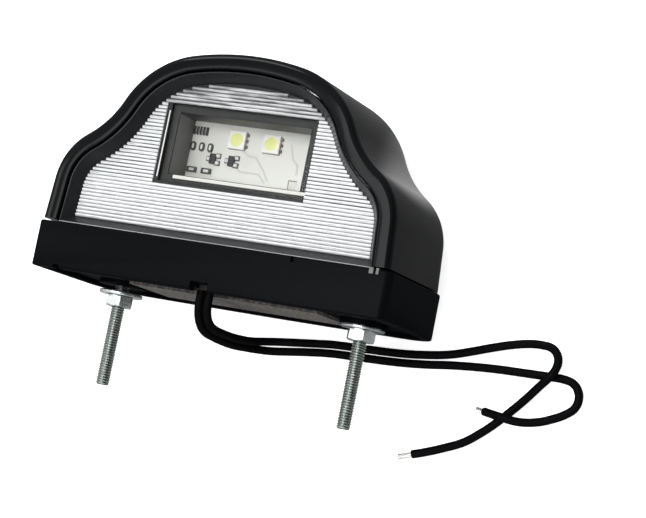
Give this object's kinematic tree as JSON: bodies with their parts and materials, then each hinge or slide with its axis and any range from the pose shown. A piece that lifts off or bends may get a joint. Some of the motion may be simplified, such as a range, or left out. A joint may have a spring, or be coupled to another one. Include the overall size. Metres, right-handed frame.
{
  "type": "number plate lamp",
  "caption": "Bell-shaped number plate lamp: black hood on a tray base, ribbed clear lens with a dark framed window over square LEDs, threaded studs below and bare leads.",
  "frame": {"origin": "middle of the lamp from stud tips to the top of the bell, on the ground under its curved back", "axes": "+X across the lamp along the line of the studs, +Y from the studs to the top of the bell, +Z from the back to the lens; the lamp lies on its back"},
  "size_m": [0.1445, 0.0955, 0.048],
  "materials": {
    "base_plastic": "satin moulded black",
    "seal_sheet": "flat cork-rubber plate, light grey-brown",
    "cover_plastic": "semi-gloss moulded black",
    "lens_clear": "clear polycarbonate, ribbed",
    "seal_rubber": "matt black rubber",
    "reflector_bright": "bright metallised plastic",
    "box_plastic": "matt dark plastic",
    "board_white": "white solder mask",
    "carrier_plastic": "matt black plastic",
    "screw_steel": "bright steel",
    "led_body": "white plastic",
    "phosphor": "yellow-green silicone",
    "tinned_metal": "tinned",
    "chip_plastic": "matt dark epoxy",
    "capacitor_ceramic": "grey-brown ceramic",
    "pad_white": "printed white",
    "lead_insulation": "soft black insulation",
    "bare_strands": "tinned copper strands",
    "stud_steel": "zinc plated, dulled",
    "zinc_plate": "bright zinc plated"
  },
  "bodies": {
    "root": {"base": "base_plastic", "base_seal": "seal_sheet", "cover": "cover_plastic", "lens": "lens_clear", "lens_seal": "seal_rubber", "reflector": "reflector_bright", "light_box": "box_plastic", "circuit_board": "board_white", "board_carrier": "carrier_plastic", "carrier_screws": "screw_steel", "module_screws": "screw_steel", "led_left": "led_body", "led_right": "led_body", "phosphor_left": "phosphor", "phosphor_right": "phosphor", "led_contacts": "tinned_metal", "driver_chip": "chip_plastic", "capacitors": "capacitor_ceramic", "transistors": "chip_plastic", "transistor_leads": "tinned_metal", "resistors": "chip_plastic", "test_pad": "pad_white", "solder_joints": "tinned_metal", "grommet": "seal_rubber", "inner_leads": "lead_insulation", "lead_a": "lead_insulation", "lead_b": "lead_insulation", "lead_a_end": "bare_strands", "lead_b_end": "bare_strands", "stud_left": "stud_steel", "stud_right": "stud_steel", "washer_left": "zinc_plate", "washer_right": "zinc_plate", "nut_left": "zinc_plate", "nut_right": "zinc_plate"}
  },
  "joints": []
}
